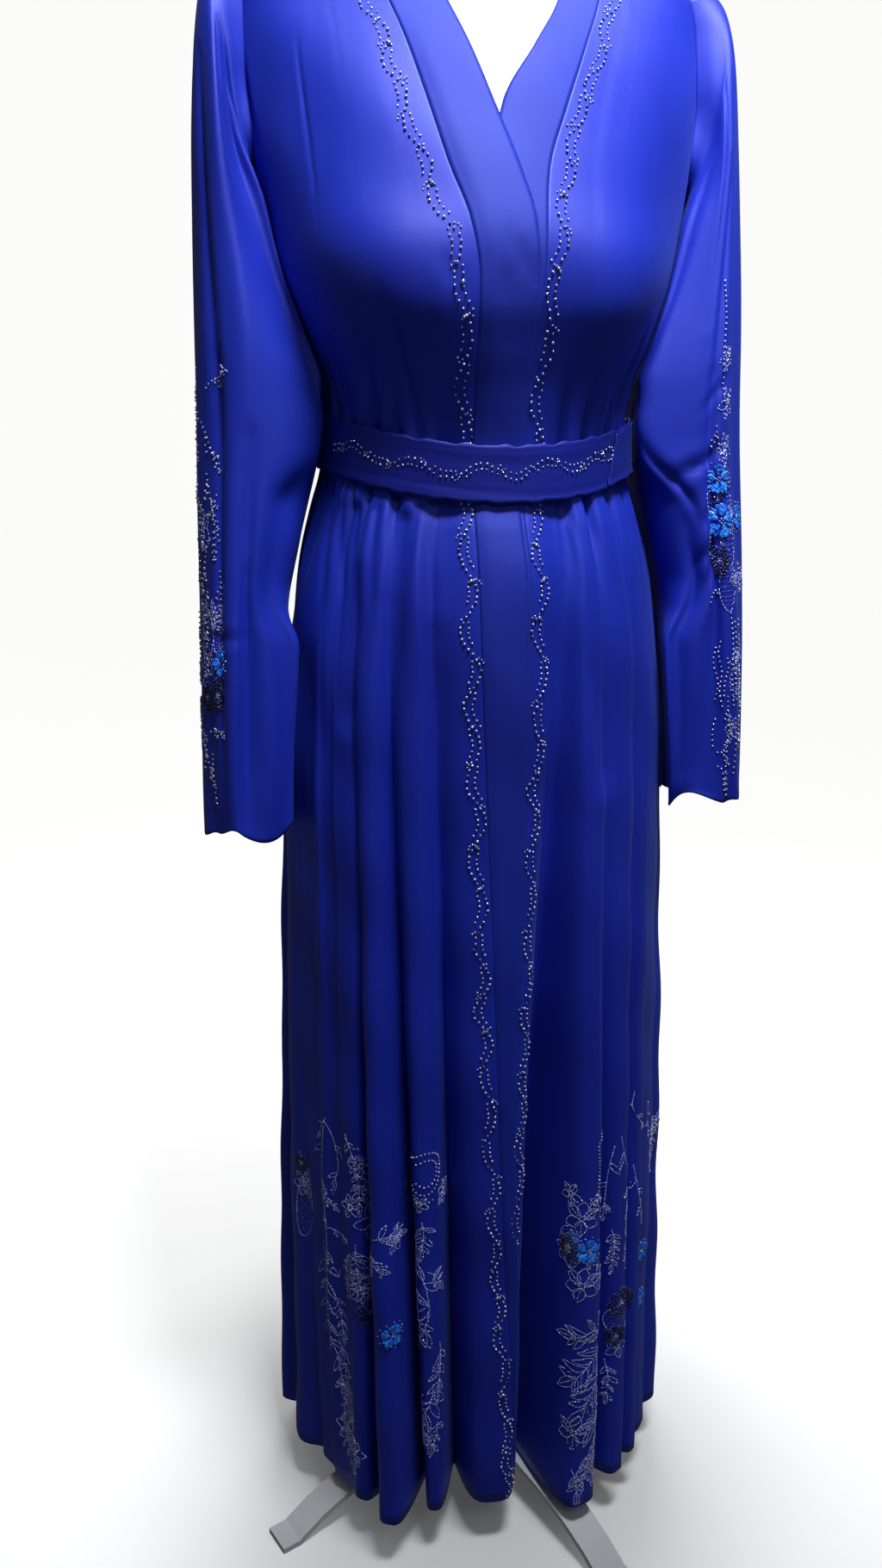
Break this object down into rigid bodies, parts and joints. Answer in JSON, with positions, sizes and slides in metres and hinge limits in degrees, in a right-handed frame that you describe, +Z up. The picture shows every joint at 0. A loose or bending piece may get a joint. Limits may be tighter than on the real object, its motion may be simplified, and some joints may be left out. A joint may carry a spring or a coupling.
{
  "type": "abaya on a dress form stand",
  "caption": "Long royal-blue satin abaya with lapped front bands, a wide belt and long sleeves, on a limbless white dress form with a crossed foot stand.",
  "frame": {"origin": "on the floor at the centre of the bounding box, under the stand's pole", "axes": "+Z up along the pole; the front faces -Y and the wearer's left side is +X"},
  "size_m": [0.5396, 0.4708, 1.6534],
  "materials": {
    "blue_satin": "smooth satin sheen",
    "band_satin": "smooth satin sheen",
    "belt_satin": "smooth satin sheen",
    "form_jersey": "matt stretched jersey",
    "stand_white": "semi-gloss white paint"
  },
  "bodies": {
    "root": {"front_right": "blue_satin", "front_left": "blue_satin", "back": "blue_satin", "band_right": "band_satin", "band_left": "band_satin", "band_back_neck": "band_satin", "sleeve_right": "blue_satin", "sleeve_left": "blue_satin", "belt": "belt_satin", "belt_end": "belt_satin", "form_torso": "form_jersey", "form_neck_cap": "stand_white", "stand_pole": "stand_white", "stand_hub": "stand_white", "stand_leg_1": "stand_white", "stand_leg_2": "stand_white", "stand_leg_3": "stand_white", "stand_leg_4": "stand_white"}
  },
  "joints": []
}
